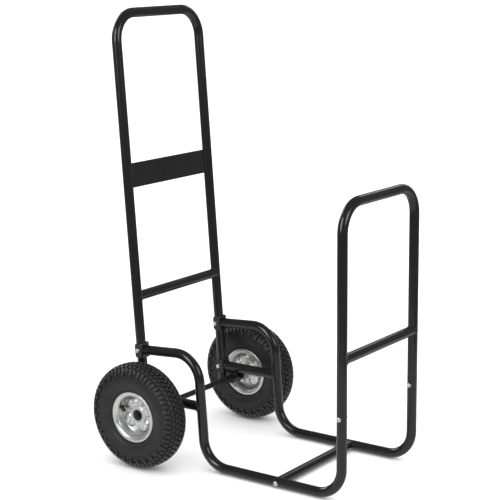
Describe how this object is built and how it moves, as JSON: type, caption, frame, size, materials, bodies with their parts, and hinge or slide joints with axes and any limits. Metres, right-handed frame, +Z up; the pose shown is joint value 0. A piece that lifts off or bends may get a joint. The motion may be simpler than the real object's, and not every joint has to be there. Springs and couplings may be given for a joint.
{
  "type": "firewood log cart",
  "caption": "Two-wheeled tubular steel firewood cart: a bent-tube log rack with a tall push handle behind it and pneumatic wheels on one axle.",
  "frame": {"origin": "on the floor, at the middle of the ground that the cart covers", "axes": "+Z up, +Y towards the push handle, +X along the axle towards the right wheel"},
  "size_m": [0.557, 0.7092, 1.1517],
  "materials": {
    "black_powder_coat": "semi-gloss black powder coat",
    "black_steel": "satin black oxide and paint",
    "zinc_pressing": "bright zinc plate on pressed sheet",
    "zinc_fastener": "bright zinc plate",
    "bearing_steel": "ground steel",
    "tyre_rubber": "moulded black rubber",
    "soft_rubber": "matt black rubber",
    "cap_plastic": "matt black plastic"
  },
  "bodies": {
    "frame": {"axle": "black_steel", "axle_end_bolts": "black_steel", "axle_end_washers": "black_steel", "axle_hanger_left": "black_powder_coat", "axle_hanger_right": "black_powder_coat", "axle_split_pins": "black_steel", "axle_strut_left": "black_powder_coat", "axle_strut_right": "black_powder_coat", "bearing_inner_rings": "bearing_steel", "floor_cross_tube": "black_powder_coat", "floor_tube_bolts": "zinc_fastener", "floor_tube_inserts": "zinc_fastener", "handle_crossbar": "black_powder_coat", "handle_frame": "black_powder_coat", "handle_plate": "black_powder_coat", "hub_spacers": "zinc_fastener", "lower_saddle_left": "black_powder_coat", "lower_saddle_right": "black_powder_coat", "rack_bolts": "zinc_fastener", "rack_crossbar": "black_powder_coat", "rack_frame": "black_powder_coat", "rack_nuts": "zinc_fastener", "saddle_bolts": "zinc_fastener", "saddle_nuts": "zinc_fastener", "side_frame_left": "black_powder_coat", "side_frame_right": "black_powder_coat", "side_spacers": "zinc_fastener", "upper_saddle_left": "black_powder_coat", "upper_saddle_right": "black_powder_coat"},
    "left_wheel": {"bearing_outer_rings_left": "bearing_steel", "hub_left": "zinc_pressing", "inner_tube_left": "soft_rubber", "rim_bolts_left": "zinc_fastener", "rim_inner_left": "zinc_pressing", "rim_nuts_left": "zinc_fastener", "rim_outer_left": "zinc_pressing", "tyre_left": "tyre_rubber", "valve_cap_left": "cap_plastic", "valve_stem_left": "soft_rubber"},
    "right_wheel": {"bearing_outer_rings_right": "bearing_steel", "hub_right": "zinc_pressing", "inner_tube_right": "soft_rubber", "rim_bolts_right": "zinc_fastener", "rim_inner_right": "zinc_pressing", "rim_nuts_right": "zinc_fastener", "rim_outer_right": "zinc_pressing", "tyre_right": "tyre_rubber", "valve_cap_right": "cap_plastic", "valve_stem_right": "soft_rubber"},
    "left_balls": {"bearing_balls_left": "bearing_steel"},
    "right_balls": {"bearing_balls_right": "bearing_steel"}
  },
  "joints": [
    {"name": "left_wheel_spin", "type": "hinge", "parent": "frame", "child": "left_wheel", "pos_m": [-0.242, 0.2181, 0.1365], "axis": [1, 0, 0], "continuous": true},
    {"name": "right_wheel_spin", "type": "hinge", "parent": "frame", "child": "right_wheel", "pos_m": [0.242, 0.2181, 0.1365], "axis": [1, 0, 0], "continuous": true},
    {"name": "left_balls_roll", "type": "hinge", "parent": "frame", "child": "left_balls", "pos_m": [-0.242, 0.2181, 0.1365], "axis": [1, 0, 0], "continuous": true},
    {"name": "right_balls_roll", "type": "hinge", "parent": "frame", "child": "right_balls", "pos_m": [0.242, 0.2181, 0.1365], "axis": [1, 0, 0], "continuous": true}
  ],
  "couplings": [
    {"joint": "left_balls_roll", "follows": "left_wheel_spin", "ratio": 0.62097},
    {"joint": "right_balls_roll", "follows": "right_wheel_spin", "ratio": 0.62097}
  ]
}
